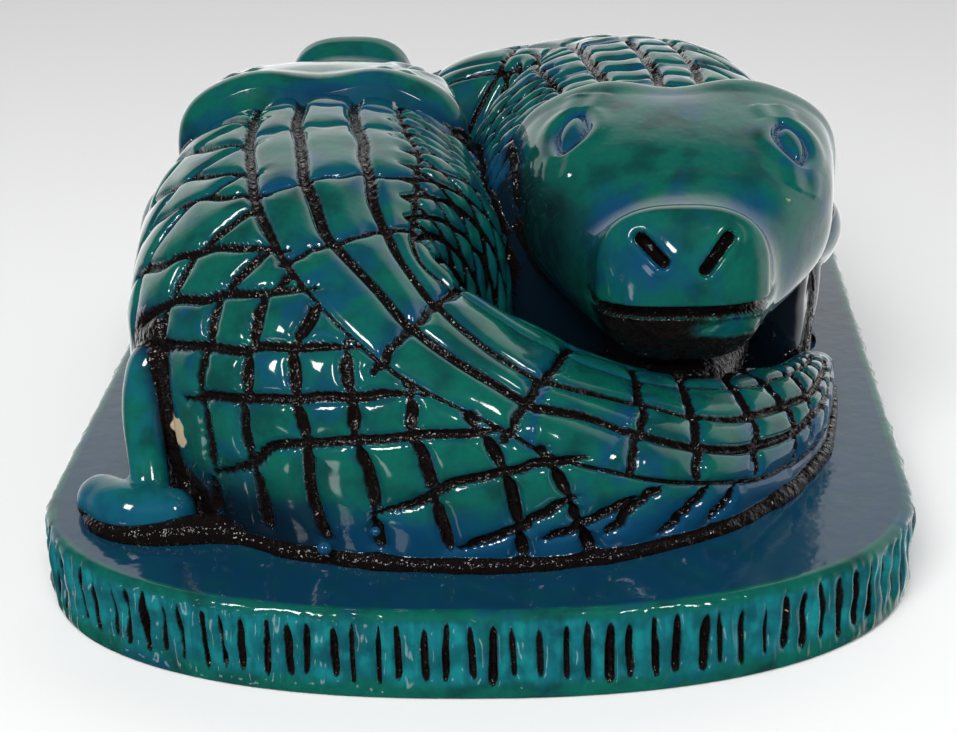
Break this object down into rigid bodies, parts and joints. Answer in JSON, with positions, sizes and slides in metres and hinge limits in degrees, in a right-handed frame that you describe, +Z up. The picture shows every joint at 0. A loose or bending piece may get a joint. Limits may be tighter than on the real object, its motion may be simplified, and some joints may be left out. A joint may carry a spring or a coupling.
{
  "type": "crocodile figure",
  "caption": "Glazed ceramic figure of crocodiles lying head to tail with curled tails, scaled backs and smooth heads, in one piece with an oval plinth cut round its edge.",
  "frame": {"origin": "middle of the plinth's flat underside", "axes": "+Z up, +Y away from the viewer of the right-hand crocodile's snout and along the plinth's long side, +X to that viewer's right"},
  "size_m": [0.125, 0.172, 0.0595],
  "materials": {
    "glaze": "glossy green and blue glaze, pooled almost black in the grooves"
  },
  "bodies": {
    "root": {"crocodiles_on_plinth": "glaze"}
  },
  "joints": []
}
